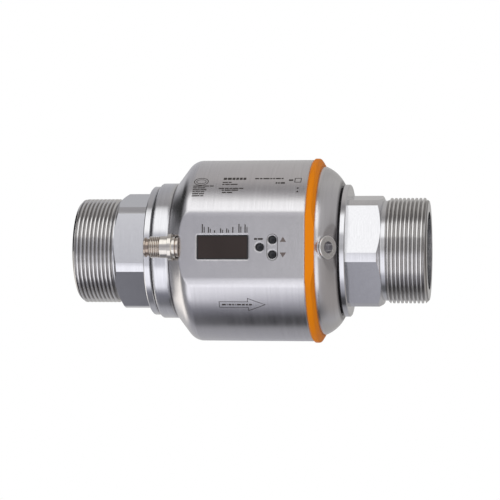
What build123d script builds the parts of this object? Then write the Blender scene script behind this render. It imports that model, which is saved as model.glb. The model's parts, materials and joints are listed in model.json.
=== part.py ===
from build123d import *
from math import cos, radians, sin, tan
import os

# Electromagnetic flow meter with pipe-thread ends.
# Millimetres. X runs along the pipe with the flow, -Y is the display side, +Z is up.
# The origin is on the flow axis, half way between the two pipe ends.

# Stations along the pipe, as lengths from the inlet end to the outlet end
inlet_thread_length = 24.2
inlet_hex_width = 18.4
inlet_flange_width = 4.0
inlet_gasket_thickness = 1.0
collar_width = 9.9
shell_length = 77.8
ring_width = 4.9
cap_depth = 11.5
outlet_gasket_thickness = 0.7
outlet_flange_width = 3.4
outlet_hex_width = 18.8
outlet_thread_length = 25.4

# Pipe fittings
pipe_thread_d = 59.614
thread_chamfer = 1.9
relief_width = 2.3
relief_depth = 1.5
hex_across_flats = 60.0
hex_corner_rise = 3.25
hex_chamfer_angle = 30.0
inlet_hex_turn = 11.2
outlet_hex_turn = 21.3
inlet_flange_width_r = 9.0
outlet_flange_width_r = 9.6
flange_chamfer = 0.5
fitting_bore_d = 44.0
spigot_length = 7.0
spigot_wall = 5.9
inlet_gasket_inset = 0.5
outlet_gasket_inset = 2.0

# Flow tube and liner
bore_d = 42.6
liner_wall = 2.7
tube_wall = 3.2
collar_edge = 1.0
register_length = 2.5
outlet_collar_wall = 5.05
outlet_collar_length = 8.0

# Housing
flat_drop = 3.8
flat_blend = 12.0
shell_wall = 2.0
shoulder_angle = 52.0
shoulder_radius = 8.0
register_lip = 2.6
ring_rise = 0.8
ring_tongue = 3.5
ring_tongue_wall = 5.0
ring_bevel_width = 1.7
ring_bevel_height = 2.7
ring_round = 1.4
cap_rim_inset = 3.9
cap_rim_length = 1.8
cap_wall = 2.0
cap_face_margin = 1.1
cap_bulge = 1.15
cap_hub_length = 5.0
cap_hub_wall = 2.2
cap_seal_width = 1.8
cap_seal_depth = 1.6

# Plug in the end cap
plug_tilt = 52.0
plug_station = 6.5
plug_drop = 4.2
spot_d = 29.4
spot_pad_wall = 2.2
boss_margin = 0.5
plug_head_d = 12.9
plug_head_height = 0.9
plug_edge_round = 0.5
plug_shank_d = 10.0
plug_shank_length = 4.4
plug_socket = 6.0
plug_socket_depth = 2.8
plug_seal_inset = 0.45
plug_seal_thickness = 0.4

# Display window
window_setback = 32.1
window_length = 28.6
window_height = 13.4
window_corner = 0.5
window_border = 0.7
window_recess = 0.15
pane_thickness = 1.5
display_margin = 2.0
display_thickness = 1.7

# Buttons
enter_spacing = 6.4
arrow_spacing = 7.0
arrow_pitch = 8.14
button_d = 4.0
button_proud = 0.25
button_flange_d = 5.8
button_flange = 0.6
button_edge_round = 0.3
button_dish_d = 2.8
button_dish_depth = 0.18
button_travel = 0.5
button_stop_gap = 0.1
switch_size = 4.4
switch_plunger_d = 2.0
switch_plunger = 0.3

# Boards
board_margin = 7.0
board_height = 32.0
board_thickness = 1.6
board_gap = 2.8
carrier_depth = 6.0
carrier_floor = 1.4
carrier_window = 22.0
screw_inset = 3.5
screw_d = 2.0
screw_head_d = 3.6
screw_head = 1.2
screw_length = 5.0

# Magnet system
coil_clearance = 2.3
yoke_wall = 2.0
yoke_length = 34.0
post_length = 16.0
post_width = 10.0
shoe_length = 28.0
shoe_width = 24.0
shoe_thickness = 2.6
coil_length = 30.0
coil_width = 24.0
coil_height = 4.0
bobbin_wall = 0.9
coil_corner = 4.0

# Electrodes and temperature probe
electrode_d = 3.0
electrode_head_d = 7.0
electrode_head = 1.0
electrode_recess = 0.1
electrode_reach = 12.0
bush_wall = 1.3
bush_flange_d = 9.0
bush_flange = 1.2
nut_across_flats = 5.5
nut_height = 2.4
probe_setback = 16.7
probe_d = 4.0
probe_reach = 11.0
probe_head_d = 7.0
probe_head = 3.0

# Cable connector
connector_sink = 1.1
mate_nut_d = 15.0
mate_clearance = 0.5
connector_overhang = 11.4
connector_lip = 0.9
connector_lip_d = 11.0
connector_groove = 1.7
connector_groove_d = 9.6
connector_thread_d = 12.0
connector_thread_length = 6.4
connector_body_d = 13.2
connector_flats = 12.0
connector_body_length = 4.5
connector_flange_d = 15.4
connector_flange = 2.0
connector_neck_length = 1.8
connector_neck_groove = 0.6
connector_neck_groove_d = 10.6
connector_disc_d = 11.4
connector_disc = 1.2
socket_d = 8.4
socket_depth = 9.0
insert_length = 8.0
wire_hole_d = 3.0
pin_d = 1.0
pin_circle_d = 5.5
pin_reach = 6.5
pin_tail = 6.0
pin_count = 4

# Clearances
fit_gap = 0.05
button_gap = 0.3
seat_gap = 0.2
section_hair = 0.002

# Stations, from the inlet end
overall_length = (
    inlet_thread_length + inlet_hex_width + inlet_flange_width + inlet_gasket_thickness
    + collar_width + shell_length + ring_width + cap_depth + outlet_gasket_thickness
    + outlet_flange_width + outlet_hex_width + outlet_thread_length
)
x_inlet_end = -overall_length / 2
x_inlet_hex = x_inlet_end + inlet_thread_length
x_inlet_flange = x_inlet_hex + inlet_hex_width
x_inlet_face = x_inlet_flange + inlet_flange_width
x_collar = x_inlet_face + inlet_gasket_thickness
x_shell = x_collar + collar_width
x_ring = x_shell + shell_length
x_cap = x_ring + ring_width
x_cap_face = x_cap + cap_depth
x_outlet_face = x_cap_face + outlet_gasket_thickness
x_outlet_flange = x_outlet_face + outlet_flange_width
x_outlet_hex = x_outlet_flange + outlet_hex_width
x_outlet_end = x_outlet_hex + outlet_thread_length
x_outlet_collar = x_cap_face - outlet_collar_length
x_probe = x_outlet_collar - probe_setback
x_window = x_shell + window_setback
x_enter = x_window + window_length / 2 + enter_spacing
x_arrows = x_enter + arrow_spacing
board_length = window_length + enter_spacing + arrow_spacing + 2 * board_margin
x_board = (x_window - window_length / 2 + x_arrows) / 2

# Radii that follow from the driving sizes, from the bore outwards
bore_r = bore_d / 2
liner_r = bore_r + liner_wall
tube_r = liner_r + fit_gap + tube_wall
spigot_r = fitting_bore_d / 2 + spigot_wall
counterbore_r = spigot_r + fit_gap
outlet_collar_r = counterbore_r + outlet_collar_wall
cap_hole_r = outlet_collar_r + fit_gap
inlet_flange_r = spigot_r + inlet_flange_width_r
outlet_flange_r = spigot_r + outlet_flange_width_r
shoe_top = tube_r + shoe_thickness
bobbin_base = shoe_top + fit_gap
coil_base = bobbin_base + bobbin_wall
coil_top = coil_base + coil_height
yoke_r = coil_top + bobbin_wall + coil_clearance

# The flat lies over the yoke, the carrier and the board, and sets the housing's radius
board_back = yoke_r + yoke_wall + carrier_floor
board_front = board_back + board_thickness
flat_inner = board_front + board_gap
flat_depth = flat_inner + shell_wall
body_r = flat_depth + flat_drop
cap_rim_r = body_r - cap_rim_inset
cap_face_r = outlet_flange_r + cap_face_margin

# The connector lies just under the flat, and the collar leaves room for a cable plug's nut
connector_y = connector_sink - flat_depth
collar_r = -connector_y - mate_nut_d / 2 - mate_clearance
register_r = collar_r - register_lip
x_spigot_inlet = x_inlet_face + spigot_length
x_spigot_outlet = x_outlet_face - spigot_length

os.makedirs("parts", exist_ok=True)


def turned_band(x_from, x_to, r_from, r_to, mode=Mode.ADD):
    """A rectangular section between two stations and two radii, for turning about X."""
    with Locations(((x_from + x_to) / 2, (r_from + r_to) / 2)):
        Rectangle(x_to - x_from, r_to - r_from, mode=mode)


def d_section(radius, depth, blend):
    """The housing's cross-section: a circle with one flat at the front, its edges blended.

    The circle lies a hair outside the turned body, so the two round surfaces never coincide.
    """
    Circle(radius + section_hair)
    with Locations((-depth - radius, 0)):
        Rectangle(2 * radius, 3 * radius, mode=Mode.SUBTRACT)
    fillet(vertices(), blend)


def thread_section(x_end, x_hex):
    """The threaded end's section: end chamfer, thread at full diameter, relief by the hexagon."""
    out = 1 if x_end > x_hex else -1
    thread_r = pipe_thread_d / 2
    Polygon(
        (x_hex, fitting_bore_d / 2),
        (x_hex, thread_r - relief_depth),
        (x_hex + out * relief_width, thread_r - relief_depth),
        (x_hex + out * (relief_width + relief_depth), thread_r),
        (x_end - out * thread_chamfer, thread_r),
        (x_end, thread_r - thread_chamfer),
        (x_end, fitting_bore_d / 2),
        align=None,
    )


def flange_section(x_hex, x_face, radius):
    """The flange's section between the hexagon and the gasket, with its two small chamfers."""
    out = 1 if x_hex > x_face else -1
    Polygon(
        (x_face, fitting_bore_d / 2),
        (x_face, radius - flange_chamfer),
        (x_face + out * flange_chamfer, radius),
        (x_hex - out * flange_chamfer, radius),
        (x_hex, radius - flange_chamfer),
        (x_hex, fitting_bore_d / 2),
        align=None,
    )


# Hexagons of the two fittings, with their corners turned down
hex_corner_r = hex_across_flats / 2 + hex_corner_rise
hex_chamfer = hex_corner_rise * tan(radians(hex_chamfer_angle))
hexagons = {}
for end, x_outer, x_inner, turn in (
    ("inlet", x_inlet_hex, x_inlet_flange, inlet_hex_turn),
    ("outlet", x_outlet_hex, x_outlet_flange, outlet_hex_turn),
):
    out = 1 if x_outer > x_inner else -1
    with BuildPart() as hexagon:
        with BuildSketch(Plane.YZ.offset(x_inner)):
            RegularPolygon(hex_across_flats / 2, 6, major_radius=False, rotation=30 - turn)
        extrude(amount=x_outer - x_inner)
        with BuildSketch(Plane.XY):
            Polygon(
                (x_inner, fitting_bore_d / 2),
                (x_inner, hex_corner_r),
                (x_outer - out * hex_chamfer, hex_corner_r),
                (x_outer, hex_across_flats / 2),
                (x_outer, fitting_bore_d / 2),
                align=None,
            )
        revolve(axis=Axis.X, mode=Mode.INTERSECT)
    hexagons[end] = hexagon.part

# Inlet fitting
with BuildPart() as inlet_fitting:
    with BuildSketch(Plane.XY):
        thread_section(x_inlet_end, x_inlet_hex)
        flange_section(x_inlet_flange, x_inlet_face, inlet_flange_r)
        turned_band(x_inlet_face, x_spigot_inlet, fitting_bore_d / 2, spigot_r)
    revolve(axis=Axis.X)
    add(hexagons["inlet"])
inlet_fitting.part.label = "inlet_fitting"
export_step(inlet_fitting.part, "parts/inlet_fitting.step")

# Outlet fitting
with BuildPart() as outlet_fitting:
    with BuildSketch(Plane.XY):
        thread_section(x_outlet_end, x_outlet_hex)
        flange_section(x_outlet_flange, x_outlet_face, outlet_flange_r)
        turned_band(x_spigot_outlet, x_outlet_face, fitting_bore_d / 2, spigot_r)
    revolve(axis=Axis.X)
    add(hexagons["outlet"])
outlet_fitting.part.label = "outlet_fitting"
export_step(outlet_fitting.part, "parts/outlet_fitting.step")

# Gaskets between the fittings and the meter
with BuildPart() as inlet_gasket:
    with BuildSketch(Plane.XY):
        turned_band(x_inlet_face, x_collar, counterbore_r, inlet_flange_r - inlet_gasket_inset)
    revolve(axis=Axis.X)
inlet_gasket.part.label = "inlet_gasket"
export_step(inlet_gasket.part, "parts/inlet_gasket.step")

with BuildPart() as outlet_gasket:
    with BuildSketch(Plane.XY):
        turned_band(x_cap_face, x_outlet_face, counterbore_r, outlet_flange_r - outlet_gasket_inset)
    revolve(axis=Axis.X)
outlet_gasket.part.label = "outlet_gasket"
export_step(outlet_gasket.part, "parts/outlet_gasket.step")

# Flow tube: inlet collar with its register, plain tube, outlet collar with a seal groove
x_cap_seal = x_cap_face - cap_hub_length / 2
with BuildPart() as flow_tube:
    with BuildSketch(Plane.XY):
        turned_band(x_collar, x_cap_face, liner_r + fit_gap, tube_r)
        turned_band(x_collar, x_shell, liner_r + fit_gap, collar_r)
        turned_band(x_shell, x_shell + register_length, liner_r + fit_gap, register_r)
        turned_band(x_outlet_collar, x_cap_face, liner_r + fit_gap, outlet_collar_r)
        turned_band(x_collar, x_spigot_inlet + seat_gap, 0, counterbore_r, Mode.SUBTRACT)
        turned_band(x_spigot_outlet - seat_gap, x_cap_face, 0, counterbore_r, Mode.SUBTRACT)
        turned_band(
            x_cap_seal - cap_seal_width / 2 - fit_gap,
            x_cap_seal + cap_seal_width / 2 + fit_gap,
            outlet_collar_r - cap_seal_depth,
            outlet_collar_r,
            Mode.SUBTRACT,
        )
        fillet(vertices().group_by(Axis.Y)[-1], collar_edge)
    revolve(axis=Axis.X)
    with BuildSketch(Plane.XZ):
        Circle(electrode_d / 2 + bush_wall + fit_gap)
    extrude(amount=tube_r, both=True, mode=Mode.SUBTRACT)
    with BuildSketch(Plane.XY):
        with Locations((x_probe, 0)):
            Circle(probe_d / 2 + fit_gap)
    extrude(amount=tube_r, mode=Mode.SUBTRACT)
flow_tube.part.label = "flow_tube"
export_step(flow_tube.part, "parts/flow_tube.step")

# Insulating liner, with a recess for each electrode's head
with BuildPart() as tube_liner:
    with BuildSketch(Plane.XY):
        turned_band(x_spigot_inlet + seat_gap, x_spigot_outlet - seat_gap, bore_r, liner_r)
    revolve(axis=Axis.X)
    with BuildSketch(Plane.XZ):
        Circle(electrode_d / 2 + fit_gap)
    extrude(amount=tube_r, both=True, mode=Mode.SUBTRACT)
    with BuildSketch(Plane.XZ):
        Circle(electrode_head_d / 2 + fit_gap)
    extrude(
        amount=bore_r + electrode_recess + electrode_head + fit_gap,
        both=True,
        mode=Mode.SUBTRACT,
    )
    with BuildSketch(Plane.XY):
        with Locations((x_probe, 0)):
            Circle(probe_d / 2 + fit_gap)
    extrude(amount=tube_r, mode=Mode.SUBTRACT)
tube_liner.part.label = "tube_liner"
export_step(tube_liner.part, "parts/tube_liner.step")

# Stations of the cable connector, from its tip inwards
x_tip = x_shell - connector_overhang
x_groove = x_tip + connector_lip
x_thread = x_groove + connector_groove
x_body = x_thread + connector_thread_length
x_flange = x_body + connector_body_length
x_neck = x_flange + connector_flange
x_neck_groove = x_neck + connector_neck_length
x_disc = x_neck_groove + connector_neck_groove
x_connector_back = x_disc + connector_disc

# Housing shell: the cavity first, then the shell round it
shoulder_slope = tan(radians(shoulder_angle))
x_corner = x_shell + (body_r - collar_r) / shoulder_slope
inner_edge_r = collar_r - shell_wall / cos(radians(shoulder_angle))
shell_hole_r = register_r + fit_gap
x_hole = x_shell + (shell_hole_r - inner_edge_r) / shoulder_slope
x_corner_inner = x_shell + (body_r - shell_wall - inner_edge_r) / shoulder_slope

with BuildPart() as shell_cavity:
    with BuildSketch(Plane.XY):
        Polygon(
            (x_shell, 0),
            (x_shell, shell_hole_r),
            (x_hole, shell_hole_r),
            (x_corner_inner, body_r - shell_wall),
            (x_ring, body_r - shell_wall),
            (x_ring, 0),
            align=None,
        )
        fillet(
            vertices().group_by(Axis.Y)[-1].sort_by(Axis.X)[0],
            shoulder_radius - shell_wall,
        )
    revolve(axis=Axis.X)
    with BuildSketch(Plane.YZ.offset(x_shell)):
        d_section(body_r - shell_wall, flat_inner, flat_blend - shell_wall)
    extrude(amount=shell_length, mode=Mode.INTERSECT)

with BuildPart() as housing_shell:
    with BuildSketch(Plane.XY):
        Polygon(
            (x_shell, 0),
            (x_shell, collar_r),
            (x_corner, body_r),
            (x_ring, body_r),
            (x_ring, 0),
            align=None,
        )
        fillet(vertices().group_by(Axis.Y)[-1].sort_by(Axis.X)[0], shoulder_radius)
    revolve(axis=Axis.X)
    with BuildSketch(Plane.YZ.offset(x_shell)):
        d_section(body_r, flat_depth, flat_blend)
    extrude(amount=shell_length, mode=Mode.INTERSECT)
    add(shell_cavity.part, mode=Mode.SUBTRACT)
    # window opening and button holes through the flat
    with BuildSketch(Plane.XZ.offset(flat_inner - shell_wall)):
        with Locations((x_window, 0)):
            RectangleRounded(window_length, window_height, window_corner)
        with Locations((x_enter, 0), (x_arrows, arrow_pitch / 2), (x_arrows, -arrow_pitch / 2)):
            Circle(button_d / 2 + button_gap)
    extrude(amount=3 * shell_wall, mode=Mode.SUBTRACT)
    # stepped seat for the cable connector in the shoulder
    for x_from, x_to, seat_d in (
        (x_thread, x_flange, connector_body_d),
        (x_flange - fit_gap, x_neck + fit_gap, connector_flange_d),
        (x_neck, x_connector_back + fit_gap, connector_thread_d),
    ):
        with BuildSketch(Plane.YZ.offset(x_from)):
            with Locations((connector_y, 0)):
                Circle(seat_d / 2 + fit_gap)
        extrude(amount=x_to - x_from, mode=Mode.SUBTRACT)
housing_shell.part.label = "housing_shell"
export_step(housing_shell.part, "parts/housing_shell.step")

# Housing ring: its tongue lies inside the shell, its shoulder carries the cap's rim
x_rim = x_ring + seat_gap
tongue_r = body_r - shell_wall - ring_tongue_wall
ring_r = body_r + ring_rise
with BuildPart() as housing_ring:
    with BuildSketch(Plane.YZ.offset(x_ring)):
        d_section(ring_r, flat_depth + ring_rise, flat_blend + ring_rise)
    extrude(amount=ring_width)
    with BuildSketch(Plane.XY):
        Polygon(
            (x_ring, 0),
            (x_ring, body_r),
            (x_ring + ring_rise, ring_r),
            (x_cap - ring_bevel_width, ring_r),
            (x_cap, ring_r - ring_bevel_height),
            (x_cap, 0),
            align=None,
        )
        fillet(vertices().group_by(Axis.Y)[-1].sort_by(Axis.X)[1], ring_round)
    revolve(axis=Axis.X, mode=Mode.INTERSECT)
    with BuildSketch(Plane.YZ.offset(x_ring)):
        d_section(
            body_r - shell_wall - fit_gap,
            flat_inner - fit_gap,
            flat_blend - shell_wall,
        )
    extrude(amount=-ring_tongue)
    with BuildSketch(Plane.XY):
        turned_band(x_ring - ring_tongue, x_cap, 0, tongue_r)
        turned_band(x_rim, x_cap, tongue_r, cap_rim_r + fit_gap)
    revolve(axis=Axis.X, mode=Mode.SUBTRACT)
housing_ring.part.label = "housing_ring"
export_step(housing_ring.part, "parts/housing_ring.step")

# End cap: a drawn dome with a rim, a hub round the flow tube and a pad for the plug
x_dome = x_cap + cap_rim_length
x_dome_mid = (x_dome + x_cap_face) / 2
dome_mid_r = (cap_rim_r + cap_face_r) / 2
chord = Vector(x_cap_face - x_dome, cap_face_r - cap_rim_r).normalized()
dome_mid = (x_dome_mid - cap_bulge * chord.Y, dome_mid_r + cap_bulge * chord.X)
inner_mid = (x_dome_mid - (cap_bulge - cap_wall) * chord.Y, dome_mid_r + (cap_bulge - cap_wall) * chord.X)
plug_axis = Vector(sin(radians(plug_tilt)), -cos(radians(plug_tilt)), 0)
plug_origin = Vector(x_cap + plug_station, plug_drop - cap_rim_r, 0)
spot_plane = Plane(origin=plug_origin, x_dir=(0, 0, 1), z_dir=plug_axis)

with BuildPart() as cap_cavity:
    with BuildSketch(Plane.XY):
        with BuildLine():
            Polyline(
                (x_cap_face - cap_wall, 0),
                (x_rim, 0),
                (x_rim, cap_rim_r - cap_wall),
                (x_dome, cap_rim_r - cap_wall),
            )
            ThreePointArc(
                (x_dome, cap_rim_r - cap_wall),
                inner_mid,
                (x_cap_face - cap_wall, cap_face_r - cap_wall / 2),
            )
            Line((x_cap_face - cap_wall, cap_face_r - cap_wall / 2), (x_cap_face - cap_wall, 0))
        make_face()
        turned_band(
            x_cap_face - cap_hub_length, x_cap_face, cap_hole_r, cap_hole_r + cap_hub_wall, Mode.SUBTRACT
        )
    revolve(axis=Axis.X)
    with BuildSketch(spot_plane):
        Circle(spot_d / 2 + spot_pad_wall)
    extrude(amount=-spot_pad_wall, mode=Mode.SUBTRACT)
    with BuildSketch(Plane.XY):
        turned_band(x_rim, x_cap_face, 0, cap_hole_r)
    revolve(axis=Axis.X)

with BuildPart() as end_cap:
    with BuildSketch(Plane.XY):
        with BuildLine():
            Polyline(
                (x_cap_face, cap_face_r),
                (x_cap_face, 0),
                (x_rim, 0),
                (x_rim, cap_rim_r),
                (x_dome, cap_rim_r),
            )
            ThreePointArc((x_dome, cap_rim_r), dome_mid, (x_cap_face, cap_face_r))
        make_face()
    revolve(axis=Axis.X)
    add(cap_cavity.part, mode=Mode.SUBTRACT)
    with BuildSketch(spot_plane):
        Circle(spot_d / 2)
    extrude(amount=spot_d / 2, mode=Mode.SUBTRACT)
    with BuildSketch(spot_plane):
        Circle(plug_head_d / 2 + boss_margin)
    extrude(amount=-spot_pad_wall)
    with BuildSketch(spot_plane):
        Circle(plug_shank_d / 2 + fit_gap)
    extrude(amount=-plug_shank_length, mode=Mode.SUBTRACT)
end_cap.part.label = "end_cap"
export_step(end_cap.part, "parts/end_cap.step")

# Seal in the outlet collar's groove
with BuildPart() as cap_seal:
    with BuildSketch(Plane.XY):
        turned_band(
            x_cap_seal - cap_seal_width / 2,
            x_cap_seal + cap_seal_width / 2,
            outlet_collar_r - cap_seal_depth + fit_gap,
            outlet_collar_r,
        )
    revolve(axis=Axis.X)
cap_seal.part.label = "cap_seal"
export_step(cap_seal.part, "parts/cap_seal.step")

# Plug with a hexagon socket, and the seal under its head
plug_seat = Plane(origin=plug_origin + plug_axis * plug_seal_thickness, x_dir=(0, 0, 1), z_dir=plug_axis)
plug_top = Plane(
    origin=plug_origin + plug_axis * (plug_seal_thickness + plug_head_height),
    x_dir=(0, 0, 1),
    z_dir=plug_axis,
)
with BuildPart() as cap_plug:
    with BuildSketch(plug_seat):
        Circle(plug_head_d / 2)
    extrude(amount=plug_head_height)
    fillet(faces().sort_by(SortBy.DISTANCE)[-1].edges(), plug_edge_round)
    with BuildSketch(plug_seat):
        Circle(plug_shank_d / 2)
    extrude(amount=-(plug_shank_length + plug_seal_thickness))
    with BuildSketch(plug_top):
        RegularPolygon(plug_socket / 2, 6, major_radius=False)
    extrude(amount=-plug_socket_depth, mode=Mode.SUBTRACT)
cap_plug.part.label = "cap_plug"
export_step(cap_plug.part, "parts/cap_plug.step")

with BuildPart() as plug_seal:
    with BuildSketch(spot_plane):
        Circle(plug_head_d / 2 - plug_seal_inset)
        Circle(plug_shank_d / 2 + fit_gap, mode=Mode.SUBTRACT)
    extrude(amount=plug_seal_thickness)
plug_seal.part.label = "plug_seal"
export_step(plug_seal.part, "parts/plug_seal.step")

# Window: a dark surround in the opening, and the pane inside it
pane_back = flat_depth - window_recess - pane_thickness
with BuildPart() as window_gasket:
    with BuildSketch(Plane.XZ.offset(pane_back)):
        with Locations((x_window, 0)):
            RectangleRounded(window_length - 2 * fit_gap, window_height - 2 * fit_gap, window_corner)
            Rectangle(
                window_length - 2 * window_border, window_height - 2 * window_border, mode=Mode.SUBTRACT
            )
    extrude(amount=pane_thickness)
window_gasket.part.label = "window_gasket"
export_step(window_gasket.part, "parts/window_gasket.step")

pane_length = window_length - 2 * window_border - 2 * fit_gap
pane_height = window_height - 2 * window_border - 2 * fit_gap
with BuildPart() as window_pane:
    with BuildSketch(Plane.XZ.offset(pane_back)):
        with Locations((x_window, 0)):
            Rectangle(pane_length, pane_height)
    extrude(amount=pane_thickness)
window_pane.part.label = "window_pane"
export_step(window_pane.part, "parts/window_pane.step")

# Main board behind the flat, on a carrier that sits on the yoke
screw_places = GridLocations(board_length - 2 * screw_inset, board_height - 2 * screw_inset, 2, 2)
screw_points = [(x_board + place.position.X, place.position.Y) for place in screw_places]
with BuildPart() as main_board:
    with BuildSketch(Plane.XZ.offset(board_back)):
        with Locations((x_board, 0)):
            Rectangle(board_length, board_height)
        with Locations(*screw_points):
            Circle(screw_d / 2 + fit_gap, mode=Mode.SUBTRACT)
    extrude(amount=board_thickness)
main_board.part.label = "main_board"
export_step(main_board.part, "parts/main_board.step")

with BuildPart() as board_carrier:
    with BuildSketch(Plane.XZ.offset(board_back)):
        with Locations((x_board, 0)):
            Rectangle(board_length, board_height)
        with Locations(*screw_points):
            Circle(screw_d / 2 + fit_gap, mode=Mode.SUBTRACT)
        with Locations((x_window, 0)):
            Rectangle(carrier_window, board_height / 2, mode=Mode.SUBTRACT)
    extrude(amount=-carrier_depth)
    with BuildSketch(Plane.XY):
        turned_band(
            x_board - board_length, x_board + board_length, 0, yoke_r + yoke_wall + fit_gap
        )
    revolve(axis=Axis.X, mode=Mode.SUBTRACT)
board_carrier.part.label = "board_carrier"
export_step(board_carrier.part, "parts/board_carrier.step")

with BuildPart() as board_screws:
    with BuildSketch(Plane.XZ.offset(board_front)):
        with Locations(*screw_points):
            Circle(screw_head_d / 2)
    extrude(amount=screw_head)
    with BuildSketch(Plane.XZ.offset(board_front)):
        with Locations(*screw_points):
            Circle(screw_d / 2)
    extrude(amount=-screw_length)
board_screws.part.label = "board_screws"
export_step(board_screws.part, "parts/board_screws.step")

with BuildPart() as display_module:
    with BuildSketch(Plane.XZ.offset(board_front)):
        with Locations((x_window, 0)):
            Rectangle(window_length + display_margin, window_height + display_margin)
    extrude(amount=display_thickness)
display_module.part.label = "display_module"
export_step(display_module.part, "parts/display_module.step")

# Buttons, each kept behind the flat by its flange, and the switches that they press
flange_front = flat_inner - fit_gap
flange_back = flange_front - button_flange
plunger_top = flange_back - button_travel - button_stop_gap
dish_r = (button_dish_d**2 / 4 + button_dish_depth**2) / (2 * button_dish_depth)
button_points = {
    "enter_button": (x_enter, 0),
    "up_button": (x_arrows, arrow_pitch / 2),
    "down_button": (x_arrows, -arrow_pitch / 2),
}
for name, point in button_points.items():
    with BuildPart() as button:
        with BuildSketch(Plane.XZ.offset(flange_back)):
            with Locations(point):
                Circle(button_flange_d / 2)
        extrude(amount=button_flange)
        with BuildSketch(Plane.XZ.offset(flange_front)):
            with Locations(point):
                Circle(button_d / 2)
        extrude(amount=flat_depth + button_proud - flange_front)
        fillet(faces().sort_by(Axis.Y)[0].edges(), button_edge_round)
        with Locations((point[0], -(flat_depth + button_proud + dish_r - button_dish_depth), point[1])):
            Sphere(dish_r, mode=Mode.SUBTRACT)
    button.part.label = name
    export_step(button.part, f"parts/{name}.step")

with BuildPart() as key_switches:
    with BuildSketch(Plane.XZ.offset(board_front)):
        with Locations(*button_points.values()):
            Rectangle(switch_size, switch_size)
    extrude(amount=plunger_top - switch_plunger - board_front)
    with BuildSketch(Plane.XZ.offset(plunger_top - switch_plunger)):
        with Locations(*button_points.values()):
            Circle(switch_plunger_d / 2)
    extrude(amount=switch_plunger)
key_switches.part.label = "key_switches"
export_step(key_switches.part, "parts/key_switches.step")

# Magnet system: yoke, and above and below the tube a core, a bobbin and a coil
with BuildPart() as magnet_yoke:
    with BuildSketch(Plane.XY):
        turned_band(-yoke_length / 2, yoke_length / 2, yoke_r, yoke_r + yoke_wall)
    revolve(axis=Axis.X)
magnet_yoke.part.label = "magnet_yoke"
export_step(magnet_yoke.part, "parts/magnet_yoke.step")

with BuildPart() as core_upper:
    with BuildSketch(Plane.XY):
        RectangleRounded(shoe_length, shoe_width, coil_corner / 2)
    extrude(amount=shoe_top)
    with BuildSketch(Plane.XY):
        Rectangle(post_length, post_width)
    extrude(amount=yoke_r)
    with BuildSketch(Plane.XY):
        turned_band(-shoe_length, shoe_length, 0, yoke_r - fit_gap)
    revolve(axis=Axis.X, mode=Mode.INTERSECT)
    with BuildSketch(Plane.XY):
        turned_band(-shoe_length, shoe_length, 0, tube_r + fit_gap)
    revolve(axis=Axis.X, mode=Mode.SUBTRACT)

with BuildPart() as bobbin_upper:
    with BuildSketch(Plane.XY.offset(bobbin_base)):
        RectangleRounded(coil_length, coil_width, coil_corner)
    extrude(amount=bobbin_wall)
    with BuildSketch(Plane.XY.offset(coil_base)):
        Rectangle(
            post_length + 2 * (fit_gap + bobbin_wall), post_width + 2 * (fit_gap + bobbin_wall)
        )
    extrude(amount=coil_height)
    with BuildSketch(Plane.XY.offset(coil_top)):
        RectangleRounded(coil_length, coil_width, coil_corner)
    extrude(amount=bobbin_wall)
    with BuildSketch(Plane.XY.offset(bobbin_base)):
        Rectangle(post_length + 2 * fit_gap, post_width + 2 * fit_gap)
    extrude(amount=coil_height + 2 * bobbin_wall, mode=Mode.SUBTRACT)

with BuildPart() as coil_upper:
    with BuildSketch(Plane.XY.offset(coil_base + fit_gap)):
        RectangleRounded(coil_length - bobbin_wall, coil_width - bobbin_wall, coil_corner)
        Rectangle(
            post_length + 2 * (2 * fit_gap + bobbin_wall),
            post_width + 2 * (2 * fit_gap + bobbin_wall),
            mode=Mode.SUBTRACT,
        )
    extrude(amount=coil_height - 2 * fit_gap)

for name, upper in (("core", core_upper), ("bobbin", bobbin_upper), ("coil", coil_upper)):
    upper.part.label = f"{name}_upper"
    export_step(upper.part, f"parts/{name}_upper.step")
    with BuildPart() as lower:
        mirror(upper.part, about=Plane.XY)
    lower.part.label = f"{name}_lower"
    export_step(lower.part, f"parts/{name}_lower.step")

# Measuring electrodes at the front and back of the tube, with their bushes and nuts
electrode_face = bore_r + electrode_recess
bush_start = liner_r + 2 * fit_gap
bush_end = tube_r + fit_gap + bush_flange
with BuildPart() as electrodes:
    with BuildSketch(Plane.XZ.offset(electrode_face)):
        Circle(electrode_head_d / 2)
    extrude(amount=electrode_head)
    with BuildSketch(Plane.XZ.offset(electrode_face)):
        Circle(electrode_d / 2)
    extrude(amount=electrode_reach)
    mirror(about=Plane.XZ)
electrodes.part.label = "electrodes"
export_step(electrodes.part, "parts/electrodes.step")

with BuildPart() as electrode_bushes:
    with BuildSketch(Plane.XZ.offset(bush_start)):
        Circle(electrode_d / 2 + bush_wall)
    extrude(amount=bush_end - bush_start)
    with BuildSketch(Plane.XZ.offset(tube_r + fit_gap)):
        Circle(bush_flange_d / 2)
    extrude(amount=bush_flange)
    with BuildSketch(Plane.XZ.offset(bush_start)):
        Circle(electrode_d / 2 + fit_gap)
    extrude(amount=bush_end - bush_start, mode=Mode.SUBTRACT)
    mirror(about=Plane.XZ)
electrode_bushes.part.label = "electrode_bushes"
export_step(electrode_bushes.part, "parts/electrode_bushes.step")

with BuildPart() as electrode_nuts:
    with BuildSketch(Plane.XZ.offset(bush_end + fit_gap)):
        RegularPolygon(nut_across_flats / 2, 6, major_radius=False)
        Circle(electrode_d / 2 + fit_gap, mode=Mode.SUBTRACT)
    extrude(amount=nut_height)
    mirror(about=Plane.XZ)
electrode_nuts.part.label = "electrode_nuts"
export_step(electrode_nuts.part, "parts/electrode_nuts.step")

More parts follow.
